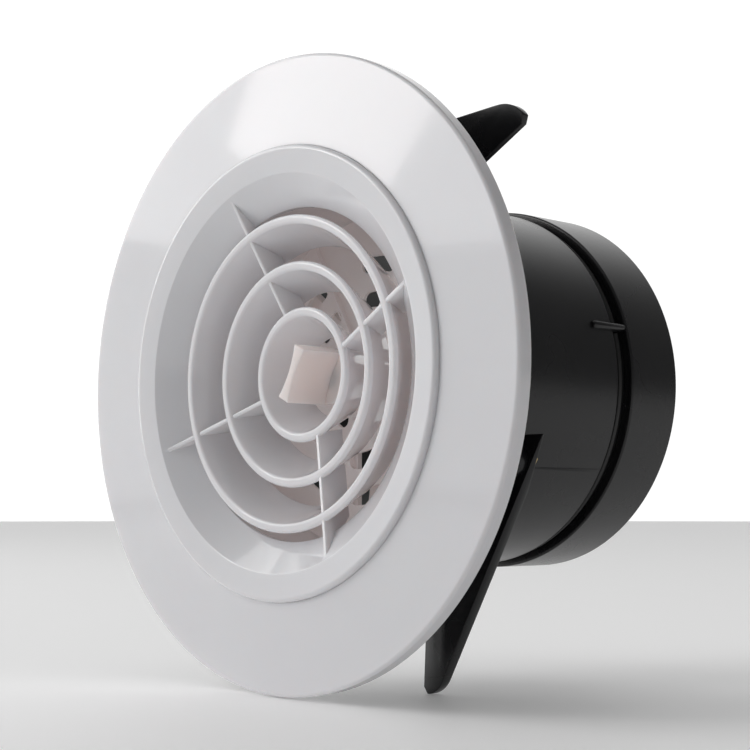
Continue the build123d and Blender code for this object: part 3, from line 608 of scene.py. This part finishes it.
def knob_piece():
    """Waisted paddle on a turned disc, with a hub that holds the spindle."""
    w, h, waist = PADDLE_HALF_WIDTH, DISC_R, PADDLE_HALF_WIDTH - PADDLE_WAIST
    outline = arc((w, -h), (waist, 0), (w, h), 32) + arc((-w, h), (-waist, 0), (-w, -h), 32)
    paddle = prism(outline, KNOB_FRONT_Y, PADDLE_BACK_Y + PADDLE_ROOT, across(PADDLE_ANGLE - 90))
    bevel(paddle, PADDLE_EDGE, 4, 40)
    disc = lathe("knob_turned", [
        (0, PADDLE_BACK_Y, 0),
        (DISC_R, PADDLE_BACK_Y, 0.35),
        (DISC_R, DISC_BACK_Y, 0.3),
        (KNOB_HUB_R, DISC_BACK_Y, 0.3),
        (KNOB_HUB_R, KNOB_END_Y, 0.15),
        (SPINDLE_R, KNOB_END_Y, 0),
        (SPINDLE_R, SOCKET_END_Y, 0),
        (0, SOCKET_END_Y, 0),
    ], 96)
    combine(paddle, [disc], "UNION")
    paddle.name = "knob_paddle"
    smooth(paddle)
    finish_piece(paddle, "damper_drive", "knob_nylon", "knob")


# ---- clamp wings ---------------------------------------------------------------------------------
# A wing's outline is in (u, v): u runs from the pivot towards the tip, v across it, away from the duct.
WING_OUT = 5.6
WING_EDGE_END = (59.0, WING_OUT)
WING_TIP_MID = (63.4, 4.3)
WING_TIP = (65.8, 1.8)
WING_TIP_CORNER = (65.0, -0.3)
WING_ROOT_IN = (-4.6, -3.6)
WING_ROOT = (-9.66, WING_OUT)
WING_HOLLOW_U = (50.0, 1.0)
WING_FOLD = 20           # swing from clamped to folded
WING_FOLD_GAP = 0.6      # between the folded wing and the duct
WING_EDGE = 0.3
WING_HUB_R = 4.6
WING_HUB_ROOT = 0.4      # how far the hub runs into the blade
NUT_BORE_R = 3.05
RAMP_START_U = 6.0       # the back slopes from here to the root
RAMP_RISE = 2.7
FACET_AT = (46.6, -0.4)  # a point on the line where the shallow facet of the tip starts
FACET_ANGLE = 29
FACET_SLOPE = 1.5 / 9


def wing_piece(index):
    """Flat blade with a hollow inner edge, a ramped root, a faceted tip and a hub on the nut."""
    name = f"wing_{index + 1}"
    hub_y, back_y = node_span(name)
    front_y = hub_y + WING_HUB_STAND
    turn = index * 360 / WING_COUNT
    pivot = polar(PIVOT_R, PIVOT_ANGLE + turn)
    centre = polar(PIVOT_R, PIVOT_ANGLE + 180 - WING_ANGLE + WING_FOLD)

    def hollow(u):
        """Point of the inner edge, which clears the duct when the wing is folded."""
        return u, centre[1] + sqrt((DUCT_R + WING_FOLD_GAP) ** 2 - (u - centre[0]) ** 2)

    far, near = WING_HOLLOW_U
    outline = arc(WING_EDGE_END, WING_TIP_MID, WING_TIP, 10)
    outline += [WING_TIP_CORNER]
    outline += arc(hollow(far), hollow(centre[0]), hollow(near), 40)
    outline += [WING_ROOT_IN, WING_ROOT]
    ramp_run = RAMP_START_U - WING_ROOT[0]
    ramp = ((RAMP_START_U, 0, back_y), (-RAMP_RISE, 0, ramp_run))
    inwards = polar(1, FACET_ANGLE - 90)
    facet = ((*FACET_AT, front_y), (inwards[0] * FACET_SLOPE, inwards[1] * FACET_SLOPE, -1))
    place = across(WING_ANGLE + turn + WING_OPENED[index], pivot)
    blade = prism(outline, front_y, back_y, place, [ramp, facet])
    bevel(blade, WING_EDGE)
    hub = cylinder("hub", pivot, WING_HUB_R, hub_y, front_y + WING_HUB_ROOT)
    bevel(hub, WING_EDGE)
    combine(blade, [hub], "UNION")
    bore = cylinder("bore", pivot, NUT_BORE_R, hub_y - OVERCUT, back_y + OVERCUT)
    combine(blade, [bore], "DIFFERENCE")
    blade.name = name + "_blade"
    smooth(blade)
    finish_piece(blade, name, "black_abs", name)


face_piece()
grille_piece()
duct_piece()
rear_collar_piece()
gasket_piece()
knob_piece()
for index in range(WING_COUNT):
    wing_piece(index)

# ---- CAD nodes that stay: give each its slot's material --------------------------------------------
for part in frame["record"]["subparts"]:
    obj = frame["nodes"][part["node"]]
    obj.data.materials.clear()
    obj.data.materials.append(MATERIALS[part["material_slot"]])
    smooth(obj, 25)

# ---- floor, camera and light -----------------------------------------------------------------------
CAM_AIM = Vector((0.0168, 0.0136, -0.0006))
CAM_DISTANCE = 0.400
CAM_AZIMUTH = radians(46.3)
CAM_ELEVATION = radians(-4.8)
CAM_LENS = 76.8

back = Vector((
    sin(CAM_AZIMUTH) * cos(CAM_ELEVATION),
    -cos(CAM_AZIMUTH) * cos(CAM_ELEVATION),
    sin(CAM_ELEVATION),
))
camera = bpy.data.objects.new("camera", bpy.data.cameras.new("camera"))
bpy.context.scene.collection.objects.link(camera)
camera.data.lens = CAM_LENS
camera.data.clip_start = 0.01
camera.location = CAM_AIM + back * CAM_DISTANCE
camera.rotation_mode = "QUATERNION"
camera.rotation_quaternion = (-back).to_track_quat("-Z", "Y")
bpy.context.scene.camera = camera


def softbox(name, azimuth, elevation, distance, width, height, strength, colour=(1, 1, 1), roll=0.0):
    """Rectangular light facing the origin. Azimuth is from -Y towards +X, strength its brightness."""
    a, e = radians(azimuth), radians(elevation)
    direction = Vector((sin(a) * cos(e), -cos(a) * cos(e), sin(e)))
    data = bpy.data.lights.new(name, "AREA")
    data.shape = "RECTANGLE"
    data.size, data.size_y = width, height
    data.color = colour
    data.energy = strength * pi * width * height
    light = bpy.data.objects.new(name, data)
    bpy.context.scene.collection.objects.link(light)
    light.location = direction * distance
    light.rotation_mode = "QUATERNION"
    aim = (-direction).to_track_quat("-Z", "Y")
    light.rotation_quaternion = aim @ Matrix.Rotation(radians(roll), 4, "Z").to_quaternion()


softbox(
    "glow", azimuth=-44.0, elevation=23, distance=3.0, width=0.52, height=1.1, strength=2.4,
    colour=(1.0, 0.95, 0.94), roll=-28,
)
softbox("key", azimuth=-50, elevation=30, distance=1.8, width=1.4, height=1.2, strength=1.2)
softbox("top", azimuth=30, elevation=75, distance=1.2, width=0.9, height=0.5, strength=0.6)
softbox("low", azimuth=60, elevation=-10, distance=1.5, width=0.5, height=1.2, strength=0.1)

AMBIENT = 0.14           # brightness of the surroundings outside the soft patches
world = bpy.data.worlds.new("studio")
bpy.context.scene.world = world
world.use_nodes = True
nodes, links = world.node_tree.nodes, world.node_tree.links
where = nodes.new("ShaderNodeTexCoord")


def lobe(direction, start, full, brightness):
    """Soft patch of light in the surroundings: how bright it is towards a direction."""
    towards = nodes.new("ShaderNodeVectorMath")
    towards.operation = "DOT_PRODUCT"
    towards.inputs[1].default_value = Vector(direction).normalized()
    links.new(where.outputs["Generated"], towards.inputs[0])
    patch = nodes.new("ShaderNodeMapRange")
    patch.interpolation_type = "SMOOTHSTEP"
    patch.inputs["From Min"].default_value = start
    patch.inputs["From Max"].default_value = full
    patch.inputs["To Max"].default_value = brightness
    links.new(towards.outputs["Value"], patch.inputs["Value"])
    return patch.outputs["Result"]


# Direction of each patch, the cosines where it starts and is full, and its brightness.
LOBES = [
    ((-0.721, 0.688, 0.05), 0.3, 0.85, 0.95),
    ((-0.86, -0.50, 0.12), 0.35, 1.0, 0.95),
]
total = None
for settings in LOBES:
    patch = lobe(*settings)
    add = nodes.new("ShaderNodeMath")
    add.inputs[1].default_value = AMBIENT
    links.new(patch, add.inputs[0])
    if total is not None:
        links.new(total, add.inputs[1])
    total = add.outputs["Value"]
links.new(total, nodes["Background"].inputs["Strength"])
nodes["Background"].inputs["Color"].default_value = (1, 1, 1, 1)
bpy.context.scene.view_settings.view_transform = "Standard"

FLOOR_R = 6.0            # metres
bm = bmesh.new()
bmesh.ops.create_circle(bm, cap_ends=True, segments=96, radius=FLOOR_R)
floor_mesh = bpy.data.meshes.new("floor")
bm.to_mesh(floor_mesh)
bm.free()
floor = new_object("floor", floor_mesh)
floor.location.z = cad_box[0].z
floor_mat = plastic(
    "floor", colour=(0.93, 0.93, 0.93), roughness=0.6, tint=(0.92, 0.92, 0.92),
    grain_scale=20, grain=0.02, glow=0.12,
)
floor.data.materials.append(floor_mat)
